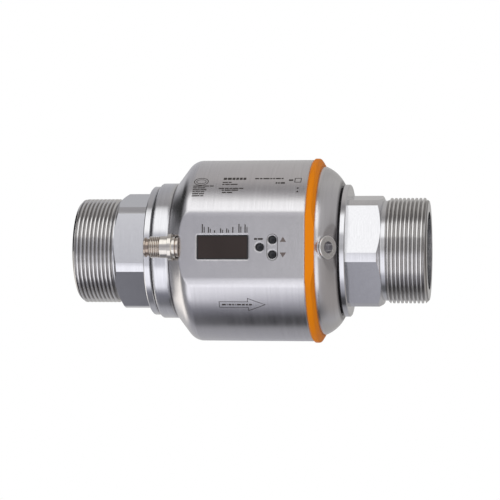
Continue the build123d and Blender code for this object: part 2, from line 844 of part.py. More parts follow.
# Temperature probe through the top of the tube, level with the liner's bore
with BuildPart() as temperature_probe:
    with BuildSketch(Plane.XY.offset(electrode_face)):
        with Locations((x_probe, 0)):
            Circle(probe_d / 2)
    extrude(amount=probe_reach)
    with BuildSketch(Plane.XY.offset(tube_r + fit_gap)):
        with Locations((x_probe, 0)):
            Circle(probe_head_d / 2)
    extrude(amount=probe_head)
temperature_probe.part.label = "temperature_probe"
export_step(temperature_probe.part, "parts/temperature_probe.step")

# Cable connector: turned shell with flats, insulating insert and contact pins
x_insert = x_tip + socket_depth
x_insert_end = x_insert + insert_length
with BuildPart() as connector_shell:
    for x_from, length, diameter in (
        (x_tip, connector_lip, connector_lip_d),
        (x_groove, connector_groove, connector_groove_d),
        (x_thread, connector_thread_length, connector_thread_d),
        (x_body, connector_body_length, connector_body_d),
        (x_flange, connector_flange, connector_flange_d),
        (x_neck, connector_neck_length, connector_thread_d),
        (x_neck_groove, connector_neck_groove, connector_neck_groove_d),
        (x_disc, connector_disc, connector_disc_d),
    ):
        with BuildSketch(Plane.YZ.offset(x_from)):
            with Locations((connector_y, 0)):
                Circle(diameter / 2)
        extrude(amount=length)
    with BuildSketch(Plane.YZ.offset(x_body)):
        with Locations((connector_y, 0)):
            Rectangle(connector_body_d, connector_body_d)
            Rectangle(connector_body_d, connector_flats, mode=Mode.SUBTRACT)
    extrude(amount=connector_body_length, mode=Mode.SUBTRACT)
    with BuildSketch(Plane.YZ.offset(x_tip)):
        with Locations((connector_y, 0)):
            Circle(socket_d / 2)
    extrude(amount=socket_depth + insert_length + fit_gap, mode=Mode.SUBTRACT)
    with BuildSketch(Plane.YZ.offset(x_insert_end)):
        with Locations((-flat_inner + wire_hole_d, 0)):
            Circle(wire_hole_d / 2)
    extrude(amount=x_connector_back - x_insert_end, mode=Mode.SUBTRACT)
connector_shell.part.label = "connector_shell"
export_step(connector_shell.part, "parts/connector_shell.step")

with BuildPart() as connector_insert:
    with BuildSketch(Plane.YZ.offset(x_insert)):
        with Locations((connector_y, 0)):
            Circle(socket_d / 2 - fit_gap)
            with PolarLocations(pin_circle_d / 2, pin_count, start_angle=45):
                Circle(pin_d / 2 + fit_gap, mode=Mode.SUBTRACT)
    extrude(amount=insert_length)
connector_insert.part.label = "connector_insert"
export_step(connector_insert.part, "parts/connector_insert.step")

with BuildPart() as connector_pins:
    with BuildSketch(Plane.YZ.offset(x_insert - pin_reach)):
        with Locations((connector_y, 0)):
            with PolarLocations(pin_circle_d / 2, pin_count, start_angle=45):
                Circle(pin_d / 2)
    extrude(amount=pin_reach + pin_tail)
connector_pins.part.label = "connector_pins"
export_step(connector_pins.part, "parts/connector_pins.step")
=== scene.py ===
import bmesh
import bpy
import json
from math import acos, asin, cos, degrees, floor, radians, sin, tan
from mathutils import Matrix, Vector


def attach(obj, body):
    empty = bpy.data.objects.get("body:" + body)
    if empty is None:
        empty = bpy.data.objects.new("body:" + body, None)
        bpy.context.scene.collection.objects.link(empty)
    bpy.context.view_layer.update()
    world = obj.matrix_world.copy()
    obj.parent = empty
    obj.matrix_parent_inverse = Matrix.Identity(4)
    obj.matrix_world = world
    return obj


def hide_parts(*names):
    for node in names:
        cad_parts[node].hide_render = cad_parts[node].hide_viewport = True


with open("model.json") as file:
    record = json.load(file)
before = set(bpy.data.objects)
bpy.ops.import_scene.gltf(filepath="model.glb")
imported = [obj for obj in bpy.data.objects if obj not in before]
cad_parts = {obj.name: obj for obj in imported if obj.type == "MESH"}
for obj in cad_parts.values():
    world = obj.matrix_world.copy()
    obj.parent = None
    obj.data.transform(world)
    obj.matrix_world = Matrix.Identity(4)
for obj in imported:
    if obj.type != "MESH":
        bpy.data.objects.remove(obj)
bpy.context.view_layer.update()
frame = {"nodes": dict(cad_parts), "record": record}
scene = bpy.context.scene
MM = 0.001

# Sizes that the dressed pieces share with the part's source, in millimetres
PIPE_R = 59.614 / 2
PITCH = 2.309
THREAD_CHAMFER = 1.9
BORE_R = 22.0
SPIGOT_R = 27.9
HEX_R = 30.0
HEX_CORNER_R = 33.25
HEX_CHAMFER_TILT = radians(30)
FLANGE_CHAMFER = 0.5
RELIEF_DEPTH = 1.5
BODY_R = 51.6
FLAT = 47.8
CONNECTOR_Y = -46.7
CONNECTOR_R = 6.0
CONNECTOR_BODY_R = 6.6
PLUG_PLACE = Vector((46.7, -43.5, 0))
PLUG_TILT = radians(52)
PLUG_AXIS = Vector((sin(PLUG_TILT), -cos(PLUG_TILT), 0))

# Sizes that only this script has, in millimetres
THREAD_DEPTH = 1.48
CONNECTOR_PITCH = 1.0
CONNECTOR_THREAD_DEPTH = 0.6
INK_LIFT = 0.02

# How finely the meshes are divided: rows a turn, columns a side, degrees and millimetres a step
THREAD_ROWS = 16
CONNECTOR_THREAD_ROWS = 10
HEX_FLAT_COLUMNS = 22
HEX_CORNER_COLUMNS = 6
CONNECTOR_COLUMN = 5
CONNECTOR_MIN_COLUMNS = 6
INK_STEP = 1.5
MITRE_LIMIT = 0.3

# The places of the materials on a threaded fitting
PLAIN_SLOT, THREAD_SLOT = 0, 1

# The tent's radius in metres, its step in degrees, and the floor under it in metres
TENT_RADIUS = 1.6
TENT_STEP = 1.0
FLOOR_GAP = 0.05
FLOOR_HALF = 9.0
PALE, WHITE = (0.9, 0.9, 0.9, 1), (1, 1, 1, 1)


# Light: a closed studio tent round the pipe axis. Each table gives its bands from below the back
# over the front to above the back, as an angle above the front and a colour. They were set
# until the highlights on the metal fell as they do in the photo.
MIDDLE_BANDS = (
    (-180, (0.50, 0.50, 0.53)),
    (-132, (0.38, 0.38, 0.41)),
    (-118, (0.32, 0.32, 0.34)),
    (-112, (0.18, 0.18, 0.19)),
    (-108, (0.00, 0.00, 0.00)),
    (-93, (0.00, 0.00, 0.00)),
    (-86, (0.12, 0.12, 0.14)),
    (-80, (0.22, 0.22, 0.25)),
    (-72, (0.36, 0.36, 0.40)),
    (-63, (0.50, 0.50, 0.55)),
    (-56, (0.66, 0.66, 0.71)),
    (-48, (1.05, 1.05, 1.12)),
    (-44, (1.18, 1.18, 1.24)),
    (-9, (1.18, 1.18, 1.24)),
    (-4, (0.80, 0.80, 0.84)),
    (0, (0.47, 0.47, 0.49)),
    (6, (0.47, 0.47, 0.49)),
    (12, (0.62, 0.62, 0.65)),
    (25, (0.60, 0.60, 0.63)),
    (30, (1.30, 1.30, 1.30)),
    (60, (1.30, 1.30, 1.30)),
    (65, (0.62, 0.60, 0.59)),
    (71, (0.21, 0.20, 0.21)),
    (81, (0.21, 0.20, 0.21)),
    (87, (0.38, 0.36, 0.36)),
    (97, (0.56, 0.53, 0.51)),
    (180, (0.50, 0.50, 0.50)),
)
LEFT_END_BANDS = (
    (-180, (1.35, 1.29, 1.22)),
    (-124, (1.35, 1.29, 1.22)),
    (-112, (0.30, 0.30, 0.31)),
    (85, (0.30, 0.30, 0.31)),
    (100, (0.02, 0.02, 0.02)),
    (180, (0.02, 0.02, 0.02)),
)
RIGHT_BANDS = (
    (-180, (0.50, 0.49, 0.48)),
    (-122, (0.42, 0.42, 0.44)),
    (-108, (0.20, 0.20, 0.21)),
    (-90, (0.18, 0.18, 0.19)),
    (-80, (0.46, 0.46, 0.50)),
    (-60, (0.60, 0.60, 0.66)),
    (-50, (1.10, 1.10, 1.16)),
    (-24, (1.15, 1.15, 1.20)),
    (-14, (0.92, 0.92, 0.98)),
    (0, (0.58, 0.57, 0.57)),
    (25, (0.62, 0.61, 0.61)),
    (31, (1.25, 1.25, 1.25)),
    (60, (1.25, 1.25, 1.25)),
    (68, (0.60, 0.59, 0.58)),
    (78, (0.40, 0.39, 0.38)),
    (92, (0.42, 0.41, 0.40)),
    (110, (0.50, 0.49, 0.48)),
    (180, (0.50, 0.49, 0.48)),
)
CAP_BANDS = (
    (-180, (0.45, 0.44, 0.43)),
    (-115, (0.40, 0.39, 0.38)),
    (-95, (0.16, 0.16, 0.17)),
    (-62, (0.16, 0.16, 0.17)),
    (-50, (1.15, 1.15, 1.15)),
    (48, (1.15, 1.15, 1.15)),
    (56, (0.30, 0.30, 0.32)),
    (72, (0.30, 0.30, 0.32)),
    (85, (0.45, 0.44, 0.43)),
    (180, (0.45, 0.44, 0.43)),
)
RIGHT_END_BANDS = (
    (-180, (0.38, 0.36, 0.35)),
    (-60, (0.38, 0.36, 0.35)),
    (60, (0.45, 0.44, 0.44)),
    (180, (0.45, 0.44, 0.44)),
)
LEFT_CARD = (0.12, 0.12, 0.13)
RIGHT_CARD = (0.22, 0.205, 0.20)


def left_bands(edge):
    """The bands on the left, whose lower light strip ends at the given angle."""
    return (
        (-180, (0.60, 0.59, 0.58)),
        (-140, (0.48, 0.48, 0.50)),
        (-120, (0.44, 0.44, 0.47)),
        (-104, (0.24, 0.24, 0.26)),
        (-80, (0.24, 0.24, 0.28)),
        (-73, (0.60, 0.60, 0.65)),
        (-66, (1.20, 1.20, 1.27)),
        (edge - 7, (1.20, 1.20, 1.26)),
        (edge, (0.50, 0.50, 0.55)),
        (edge + 9, (0.42, 0.42, 0.47)),
        (14, (0.42, 0.42, 0.47)),
        (24, (0.62, 0.62, 0.66)),
        (34, (1.25, 1.25, 1.25)),
        (70, (1.25, 1.25, 1.25)),
        (80, (0.38, 0.37, 0.37)),
        (125, (0.46, 0.46, 0.48)),
        (180, (0.60, 0.60, 0.62)),
    )


# The tent's columns from left to right: x in metres, and the bands there
TENT_COLUMNS = (
    (-2.6, LEFT_END_BANDS),
    (-1.6, LEFT_END_BANDS),
    (-1.1, left_bands(-8)),
    (-0.52, left_bands(-8)),
    (-0.47, left_bands(-27)),
    (-0.36, left_bands(-27)),
    (-0.27, MIDDLE_BANDS),
    (-0.14, MIDDLE_BANDS),
    (-0.06, RIGHT_BANDS),
    (0.12, RIGHT_BANDS),
    (0.2, CAP_BANDS),
    (0.5, CAP_BANDS),
    (0.8, RIGHT_BANDS),
    (1.4, RIGHT_END_BANDS),
    (2.6, RIGHT_END_BANDS),
)

# Metals: two colours and two roughnesses that their lines vary between, the lines' spacing and
# depth, how far the lines stretch a highlight, the axis they run round, how soft the edges look,
# and painted shade, darker at a groove's bottom or in a seam, as two radii and a colour
METALS = {
    "drawn_steel": dict(
        dark=(0.66, 0.65, 0.665),
        light=(0.74, 0.73, 0.745),
        rough=(0.20, 0.27),
        lines_mm=0.25,
        depth_mm=0.003,
        stretch=0.5,
        soft_mm=1.6,
        # painted shade, darker near the axis, in the seams where the body meets the collar and the
        # flange
        groove=(38.9, 40.4, (0.20, 0.19, 0.20)),
    ),
    "collar_steel": dict(
        dark=(0.66, 0.66, 0.68),
        light=(0.76, 0.76, 0.78),
        rough=(0.12, 0.18),
        lines_mm=0.35,
        depth_mm=0.004,
        soft_mm=2.4,
    ),
    "turned_steel": dict(
        dark=(0.68, 0.68, 0.70),
        light=(0.76, 0.76, 0.78),
        rough=(0.13, 0.20),
        lines_mm=0.35,
        depth_mm=0.006,
        stretch=0.4,
    ),
    "plug_steel": dict(
        dark=(0.86, 0.85, 0.84),
        light=(0.95, 0.94, 0.92),
        rough=(0.24, 0.34),
        lines_mm=0.3,
        depth_mm=0.004,
        soft_mm=0.5,
    ),
    "thread_steel": dict(
        dark=(0.72, 0.71, 0.71),
        light=(0.84, 0.83, 0.82),
        rough=(0.08, 0.14),
        lines_mm=0.3,
        depth_mm=0.004,
        # painted shade at the bottom of the pipe thread's groove
        groove=(PIPE_R - THREAD_DEPTH, PIPE_R - 0.85, (0.33, 0.32, 0.315)),
    ),
    "nickel": dict(
        dark=(0.68, 0.64, 0.59),
        light=(0.84, 0.80, 0.74),
        rough=(0.08, 0.15),
        lines_mm=0.2,
        depth_mm=0.003,
        axis_y=CONNECTOR_Y,
        # painted shade at the bottom of the connector thread's groove
        groove=(CONNECTOR_R - CONNECTOR_THREAD_DEPTH, 5.9, (0.46, 0.38, 0.32)),
    ),
    "iron": dict(
        dark=(0.26, 0.26, 0.28),
        light=(0.34, 0.34, 0.36),
        rough=(0.4, 0.5),
        lines_mm=0.5,
        depth_mm=0.02,
    ),
    "copper": dict(
        dark=(0.55, 0.20, 0.09),
        light=(0.75, 0.32, 0.16),
        rough=(0.28, 0.4),
        lines_mm=0.3,
        depth_mm=0.05,
    ),
}

# The plug's socket: its painted shade, the radius that is all dark, and the width of the fade round
# it
SOCKET_SHADE = (0.38, 0.37, 0.39)
SOCKET_R = 3.2
SOCKET_FADE = 0.25

# A metal's lines: how many a metre at a spacing of 1 mm, and how fast they change round the axis
HAIR_LINES = (1000, 1.2)
BROAD_LINES = (110, 2.5)

# How often smears on metal, and clouds of colour in the rest, come in a metre
SMEAR_SCALE = 60.0
CLOUD_SCALE = 45.0

# The rest: colour and roughness, the grain's size and depth, gloss, and drift of the colour
PLAIN_MATERIALS = {
    "orange_plastic": dict(
        colour=(1.0, 0.285, 0.006),
        roughness=0.45,
        grain_mm=0.3,
        depth_mm=0.01,
        specular=0.08,
        drift=0.04,
    ),
    "black_rubber": dict(
        colour=(0.018, 0.018, 0.019), roughness=0.62, grain_mm=0.2, depth_mm=0.03
    ),
    "window_brown": dict(
        colour=(0.043, 0.031, 0.028), roughness=0.22, grain_mm=0.8, depth_mm=0.002, specular=0.3
    ),
    "dark_plastic": dict(
        colour=(0.030, 0.029, 0.031), roughness=0.45, grain_mm=0.15, depth_mm=0.02
    ),
    "button_black": dict(
        colour=(0.007, 0.008, 0.011), roughness=0.12, grain_mm=0.3, depth_mm=0.004
    ),
    "board_green": dict(colour=(0.02, 0.16, 0.06), roughness=0.35, grain_mm=1.2, depth_mm=0.02),
    "liner_plastic": dict(colour=(0.72, 0.68, 0.58), roughness=0.45, grain_mm=0.25, depth_mm=0.01),
    "gold": dict(
        colour=(0.85, 0.60, 0.25), roughness=0.25, grain_mm=0.3, depth_mm=0.004, metallic=1.0
    ),
    "print_ink": dict(
        colour=(0.050, 0.043, 0.040),
        roughness=0.55,
        grain_mm=0.2,
        depth_mm=0.005,
        specular=0.3,
        drift=0.15,
    ),
    "mark_ink": dict(
        colour=(0.17, 0.14, 0.13),
        roughness=0.55,
        grain_mm=0.2,
        depth_mm=0.005,
        specular=0.3,
        drift=0.12,
    ),
}


# Node helpers
def node(tree, kind, inputs=None, **settings):
    made = tree.nodes.new(kind)
    for key, value in settings.items():
        setattr(made, key, value)
    for key, value in (inputs or {}).items():
        if isinstance(value, bpy.types.NodeSocket):
            tree.links.new(value, made.inputs[key])
        else:
            made.inputs[key].default_value = value
    return made


def math_node(tree, operation, a, b=0.0):
    return node(tree, "ShaderNodeMath", {0: a, 1: b}, operation=operation).outputs[0]


def vector_node(tree, operation, a, b=(0, 0, 0)):
    made = node(tree, "ShaderNodeVectorMath", {0: a, 1: b}, operation=operation)
    return made.outputs["Value" if operation == "LENGTH" else "Vector"]


def mix_colours(tree, amount, first, second):
    """A colour between two, through the numbered sockets that a colour Mix node uses."""
    made = node(tree, "ShaderNodeMix", {0: amount, 6: first, 7: second}, data_type="RGBA")
    return made.outputs[2]


def object_place(tree):
    return node(tree, "ShaderNodeTexCoord").outputs["Object"]


def axis_parts(tree, axis_y):
    """A point's place along an axis parallel to X, out from it and round it."""
    moved = vector_node(tree, "SUBTRACT", object_place(tree), (0, axis_y * MM, 0))
    x, y, z = node(tree, "ShaderNodeSeparateXYZ", {0: moved}).outputs
    flat = node(tree, "ShaderNodeCombineXYZ", {1: y, 2: z}).outputs[0]
    return x, vector_node(tree, "LENGTH", flat), math_node(tree, "ARCTAN2", z, y)


def lathe_vector(tree, lines, spacing_mm, axis_y):
    """Coordinates for turned or drawn metal: fine along the axis and the radius, slow round it."""
    along, round_about = lines[0] / spacing_mm, lines[1]
    x, reach, turn = axis_parts(tree, axis_y)
    scaled = {
        0: math_node(tree, "MULTIPLY", x, along),
        1: math_node(tree, "MULTIPLY", reach, along),
        2: math_node(tree, "MULTIPLY", turn, round_about),
    }
    return node(tree, "ShaderNodeCombineXYZ", scaled).outputs[0]


def noise(tree, vector, scale, detail=3.0, roughness=0.5):
    look = {"Vector": vector, "Scale": scale, "Detail": detail, "Roughness": roughness}
    return node(tree, "ShaderNodeTexNoise", look).outputs[0]


def spread(tree, value, low, high, start=0.3, end=0.7):
    """Maps start to low and end to high, and stops there. A noise runs from about 0.3 to 0.7."""
    limits = {"From Min": start, "From Max": end, "To Min": low, "To Max": high}
    return node(tree, "ShaderNodeMapRange", {"Value": value, **limits}).outputs[0]


def bump(tree, shader, value, strength, distance_mm, soft_mm=0.0):
    """Fine relief in the shading, over edges that look rounded by soft_mm."""
    relief = {"Height": value, "Strength": strength, "Distance": distance_mm * MM}
    made = node(tree, "ShaderNodeBump", relief)
    if soft_mm:
        edge = node(tree, "ShaderNodeBevel", {"Radius": soft_mm * MM}, samples=6)
        tree.links.new(edge.outputs[0], made.inputs["Normal"])
    tree.links.new(made.outputs[0], shader.inputs["Normal"])


def seen_rays(tree):
    """1 for rays that show the surface to the camera, also in a reflection, and 0 for light."""
    rays = node(tree, "ShaderNodeLightPath")
    seen = rays.outputs["Is Camera Ray"]
    for kind in ("Is Glossy Ray", "Is Transmission Ray"):
        seen = math_node(tree, "MAXIMUM", seen, rays.outputs[kind])
    return seen


def empty_material(name):
    material = bpy.data.materials.new(name)
    material.use_nodes = True
    material.node_tree.nodes.clear()
    return material, material.node_tree


# Camera: a long lens, to the right of the display and a little below it
def make_camera():
    data = bpy.data.cameras.new("camera")
    data.lens = 137.4
    data.sensor_width = 36.0
    data.clip_start = 0.01
    camera = bpy.data.objects.new("camera", data)
    yaw, pitch, roll = radians(-9.0), radians(2.29), radians(0.36)
    forward = Vector((sin(yaw) * cos(pitch), cos(yaw) * cos(pitch), sin(pitch)))
    side = forward.cross(Vector((0, 0, 1))).normalized()
    rise = side.cross(forward)
    right = side * cos(roll) + rise * sin(roll)
    up = rise * cos(roll) - side * sin(roll)
    turn = Matrix((right, up, -forward)).transposed().to_4x4()
    camera.matrix_world = Matrix.Translation(Vector((168.3, -1078.8, -43.3)) * MM) @ turn
    scene.collection.objects.link(camera)
    scene.camera = camera


def band_level(bands, height):
    """The tent's colour at an angle above the front, between the listed ones."""
    for (low, first), (high, second) in zip(bands, bands[1:]):
        if height <= high:
            part = (height - low) / (high - low)
            return tuple(a + (b - a) * part for a, b in zip(first, second))
    return bands[-1][1]


def make_tent():
    count = round(360 / TENT_STEP)
    across = len(TENT_COLUMNS)
    verts, faces, colours = [], [], []
    for i in range(count + 1):
        height = -180 + i * TENT_STEP
        y = -TENT_RADIUS * cos(radians(height))
        z = TENT_RADIUS * sin(radians(height))
        for x, bands in TENT_COLUMNS:
            verts.append((x, y, z))
            colours.append((*band_level(bands, height), 1.0))
    for i in range(count):
        for k in range(across - 1):
            first = i * across + k
            faces.append((first, first + 1, first + 1 + across, first + across))
    # a card closes each end
    for k, card in ((0, LEFT_CARD), (across - 1, RIGHT_CARD)):
        centre = len(verts)
        verts.append((TENT_COLUMNS[k][0], 0, 0))
        colours.append((*card, 1.0))
        for i in range(count):
            faces.append((centre, i * across + k, (i + 1) * across + k))
    mesh = bpy.data.meshes.new("tent")
    mesh.from_pydata(verts, [], faces)
    level = mesh.color_attributes.new("level", "FLOAT_COLOR", "POINT")
    for item, colour in zip(level.data, colours):
        item.color = colour
    tent = bpy.data.objects.new("tent", mesh)
    scene.collection.objects.link(tent)
    tent.visible_camera = False
    material, tree = empty_material("tent_light")
    shade = node(tree, "ShaderNodeAttribute", attribute_name="level")
    light = node(tree, "ShaderNodeEmission", {"Color": shade.outputs["Color"]})
    node(tree, "ShaderNodeOutputMaterial", {"Surface": light.outputs[0]})
    mesh.materials.append(material)


def make_world():
    world = bpy.data.worlds.new("world")
    world.use_nodes = True
    scene.world = world
    tree = world.node_tree
    tree.nodes.clear()
    plain = node(tree, "ShaderNodeBackground", {"Color": PALE, "Strength": 1.0}).outputs[0]
    white = node(tree, "ShaderNodeBackground", {"Color": WHITE, "Strength": 1.0}).outputs[0]
    mix = node(tree, "ShaderNodeMixShader", {0: seen_rays(tree), 1: plain, 2: white})
    node(tree, "ShaderNodeOutputWorld", {"Surface": mix.outputs[0]})


def make_floor():
    mesh = bpy.data.meshes.new("floor")
    low = -TENT_RADIUS - FLOOR_GAP
    corners = ((-FLOOR_HALF, -FLOOR_HALF), (FLOOR_HALF, -FLOOR_HALF))
    corners += ((FLOOR_HALF, FLOOR_HALF), (-FLOOR_HALF, FLOOR_HALF))
    mesh.from_pydata([(*corner, low) for corner in corners], [], [(0, 1, 2, 3)])
    ground = bpy.data.objects.new("floor", mesh)
    scene.collection.objects.link(ground)
    material, tree = empty_material("floor_white")
    pale = node(tree, "ShaderNodeBsdfDiffuse", {"Color": PALE}).outputs[0]
    white = node(tree, "ShaderNodeEmission", {"Color": WHITE, "Strength": 1.0}).outputs[0]
    mix = node(tree, "ShaderNodeMixShader", {0: seen_rays(tree), 1: pale, 2: white})
    node(tree, "ShaderNodeOutputMaterial", {"Surface": mix.outputs[0]})
    mesh.materials.append(material)


# Materials
def new_material(name, colour, roughness, metallic=0.0, specular=0.5):
    material = bpy.data.materials.new(name)
    material.use_nodes = True
    tree = material.node_tree
    shader = tree.nodes["Principled BSDF"]
    shader.inputs["Base Color"].default_value = (*colour, 1)
    shader.inputs["Roughness"].default_value = roughness
    shader.inputs["Metallic"].default_value = metallic
    shader.inputs["Specular IOR Level"].default_value = specular
    return material, tree, shader


def vary_colour(tree, shader, value, first, second):
    tree.links.new(
        mix_colours(tree, value, (*first, 1), (*second, 1)), shader.inputs["Base Color"]
    )


def paint_shade(tree, shader, reach, full_mm, none_mm, shade):
    """Paints shade into the base colour: a darker colour, all of it up to one distance, none from
    the other.
    """
    colour = shader.inputs["Base Color"].links[0].from_socket
    shade_amount = spread(tree, reach, 1.0, 0.0, full_mm * MM, none_mm * MM)
    tree.links.new(mix_colours(tree, shade_amount, colour, (*shade, 1)), shader.inputs["Base Color"])


def paint_groove_shade(tree, shader, root_r, crest_r, shade, axis_y):
    """Painted shade: metal at a groove's bottom, or in a seam, is painted darker, as the light
    hardly gets there.
    """
    reach = axis_parts(tree, axis_y)[1]
    paint_shade(tree, shader, reach, root_r, crest_r, shade)


def paint_socket_shade(tree, shader):
    """Painted shade: the plug's socket, a recess, is painted darker than its face."""
    moved = vector_node(tree, "SUBTRACT", object_place(tree), PLUG_PLACE * MM)
    reach = vector_node(tree, "LENGTH", vector_node(tree, "CROSS_PRODUCT", moved, PLUG_AXIS))
    paint_shade(tree, shader, reach, SOCKET_R, SOCKET_R + SOCKET_FADE, SOCKET_SHADE)


def lathe_metal(
    name, dark, light, rough, lines_mm, depth_mm, stretch=0.0, axis_y=0.0, soft_mm=0.0, groove=None
):
    """Brushed or turned metal: hair lines round the axis, broader bands, and smears across both."""
    material, tree, shader = new_material(name, light, rough[0], metallic=1.0)
    fine = noise(tree, lathe_vector(tree, HAIR_LINES, lines_mm, axis_y), 1.0, 4.0, 0.6)
    broad = noise(tree, lathe_vector(tree, BROAD_LINES, lines_mm, axis_y), 1.0, 2.0)
    smears = noise(tree, object_place(tree), SMEAR_SCALE)
    worn = math_node(tree, "MULTIPLY", math_node(tree, "ADD", broad, smears), 0.5)
    vary_colour(tree, shader, spread(tree, fine, 0, 1), dark, light)
    tree.links.new(spread(tree, worn, *rough), shader.inputs["Roughness"])
    bump(tree, shader, fine, 0.35, depth_mm, soft_mm)
    if stretch:
        tangent = node(tree, "ShaderNodeTangent", direction_type="RADIAL", axis="X")
        tree.links.new(tangent.outputs[0], shader.inputs["Tangent"])
        shader.inputs["Anisotropic"].default_value = stretch
        shader.inputs["Anisotropic Rotation"].default_value = 0.25
    # painted shade at a groove's bottom or in a seam, where a metal has one
    if groove:
        paint_groove_shade(tree, shader, *groove, axis_y)
    return material


def moulded(
    name, colour, roughness, grain_mm, depth_mm, specular=0.5, drift=0.06, metallic=0.0
):
    """Plastic, rubber, lacquer or plating with a fine grain and a slight drift of colour."""
    material, tree, shader = new_material(name, colour, roughness, metallic, specular)
    place = object_place(tree)
    grain = noise(tree, place, 1000 / grain_mm / 2, 2.0)
    cloud = noise(tree, place, CLOUD_SCALE)
    lighter = tuple(min(1.0, c * (1 + drift)) for c in colour)
    darker = tuple(c * (1 - drift) for c in colour)
    vary_colour(tree, shader, spread(tree, cloud, 0, 1), darker, lighter)
    rough = spread(tree, cloud, roughness * 0.9, roughness * 1.15)
    tree.links.new(rough, shader.inputs["Roughness"])
    bump(tree, shader, grain, 0.3, depth_mm)
    return material


def make_materials():
    made = {name: lathe_metal(name, **look) for name, look in METALS.items()}
    made |= {name: moulded(name, **look) for name, look in PLAIN_MATERIALS.items()}
    # painted shade in the plug's socket
    plug = made["plug_steel"].node_tree
    paint_socket_shade(plug, plug.nodes["Principled BSDF"])
    return made


# Mesh helpers
def finish_mesh(name, mesh, materials, bevel_mm=0.0):
    obj = bpy.data.objects.new(name, mesh)
    scene.collection.objects.link(obj)
    for material in materials:
        mesh.materials.append(material)
    if bevel_mm:
        edge = obj.modifiers.new("edges", "BEVEL")
        edge.width = bevel_mm * MM
        edge.segments = 2
        edge.limit_method = "WEIGHT"
        even = obj.modifiers.new("normals", "WEIGHTED_NORMAL")
        even.keep_sharp = True
    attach(obj, "meter")
    return obj


def hexagon_columns(turn):
    """Angles round a hexagon with rounded corners, and the columns where a flat meets a corner."""
    half = degrees(acos(HEX_R / HEX_CORNER_R))
    angles, edges = [], set()
    for i in range(6):
        centre = turn + 60 * i
        for start, width, count in (
            (centre - half, 2 * half, HEX_FLAT_COLUMNS),
            (centre + half, 60 - 2 * half, HEX_CORNER_COLUMNS),
        ):
            edges.add(len(angles))
            angles += [start + width * j / count for j in range(count)]
    return angles, edges


def hexagon_r(angle, turn):
    off = (angle - turn + 30) % 60 - 30
    return min(HEX_R / cos(radians(off)), HEX_CORNER_R)


def thread_height(x, angle, pitch, root=0.24, crest=0.68):
    """0 at the groove's bottom and 1 at the crest of a right-hand thread."""
    phase = x / pitch - angle / 360
    across = abs((phase - floor(phase)) - 0.5) * 2
    rise = min(max((across - root) / (crest - root), 0.0), 1.0)
    return rise * rise * (3 - 2 * rise)


class Lathe:
    """Builds a closed mesh from rows of points round an axis parallel to X."""

    MERGE = 0.005 * MM
    SAME_PLACE_DIGITS = 8
    END_FACE = 0.999

    def __init__(self, angles, axis_y=0.0):
        self.angles = angles
        self.axis_y = axis_y
        self.bm = bmesh.new()
        self.weight = self.bm.edges.layers.float.new("bevel_weight_edge")
        self.first = None
        self.last = None
        self.material = PLAIN_SLOT

    def point(self, x, r, angle):
        a = radians(angle)
        return self.bm.verts.new(Vector((x, self.axis_y - r * cos(a), r * sin(a))) * MM)

    def face(self, corners):
        face = self.bm.faces.new(corners)
        face.smooth = True
        face.material_index = self.material

    def join(self, first, second):
        count = len(self.angles)
        for j in range(count):
            k = (j + 1) % count
            self.face((first[j], first[k], second[k], second[j]))

    def sharpen(self, one, other, weight):
        edge = self.bm.edges.get((one, other))
        if edge:
            edge.smooth = False
            edge[self.weight] = weight

    def mark(self, ring, weight):
        """Marks the edges along a row as sharp, with a weight for the bevel."""
        for j in range(len(ring)):
            self.sharpen(ring[j], ring[(j + 1) % len(ring)], weight)

    def ridges(self, first, second, edges, weight):
        """Marks the edges between two rows at the columns where a flat meets a corner."""
        for j in edges:
            self.sharpen(first[j], second[j], weight)

    def connect(self, ring):
        if self.last:
            self.join(self.last, ring)
        else:
            self.first = ring
        self.last = ring

    def add(self, position, sharp=1.0):
        """A row given as a function of the angle, or as one x and one r for all angles."""
        if isinstance(position, tuple):
            ring = [self.point(*position, a) for a in self.angles]
        else:
            ring = [self.point(*position(a), a) for a in self.angles]
        self.connect(ring)
        self.mark(ring, sharp)
        return ring

    def thread(self, x_from, x_to, pitch, per_turn, radius):
        """Rows that follow the helix, so that crest and groove run clean round the pipe."""
        rows = []
        count = int((x_to - x_from) / pitch * per_turn) + per_turn + 1
        for k in range(count + 1):
            row = []
            for angle in self.angles:
                part = (angle - self.angles[0]) / 360
                x = x_from + (k / per_turn + part - 1) * pitch
                x = min(max(x, x_from), x_to)
                row.append(self.point(x, radius(x, angle), angle))
            rows.append(row)
        for k in range(count):
            for j in range(len(self.angles) - 1):
                self.patch((rows[k][j], rows[k][j + 1], rows[k + 1][j + 1], rows[k + 1][j]))
            # the last column meets the first one a turn further on
            low = min(k + per_turn, count)
            high = min(k + 1 + per_turn, count)
            if low < high:
                self.patch((rows[k][-1], rows[low][0], rows[high][0], rows[k + 1][-1]))
            else:
                self.patch((rows[k][-1], rows[low][0], rows[k + 1][-1]))
        self.connect(rows[0])
        self.mark(rows[0], 0.0)
        self.last = rows[-1]

    def patch(self, corners):
        """A face of the thread, unless its corners fall together at the thread's end."""
        places = {tuple(round(c, self.SAME_PLACE_DIGITS) for c in v.co) for v in corners}
        if len(places) > 2:
            self.face(corners)

    def close(self, name):
        """Closes the section, joins points that fall together and keeps the end faces' edges."""
        self.join(self.last, self.first)
        bmesh.ops.remove_doubles(self.bm, verts=self.bm.verts, dist=self.MERGE)
        bmesh.ops.recalc_face_normals(self.bm, faces=self.bm.faces)
        self.bm.normal_update()
        for edge in self.bm.edges:
            if sum(abs(face.normal.x) > self.END_FACE for face in edge.link_faces) == 1:
                edge.smooth = False
        mesh = bpy.data.meshes.new(name)
        self.bm.to_mesh(mesh)
        self.bm.free()
        return mesh


# Pipe fittings with their cut threads
def thread_limit(x, x_end, x_relief):
    """The end chamfer and the run-out beside the relief, as the largest radius allowed at x."""
    chamfer = PIPE_R - THREAD_CHAMFER + abs(x - x_end)
    run_out = PIPE_R - RELIEF_DEPTH + abs(x - x_relief)
    return min(PIPE_R, chamfer, run_out)


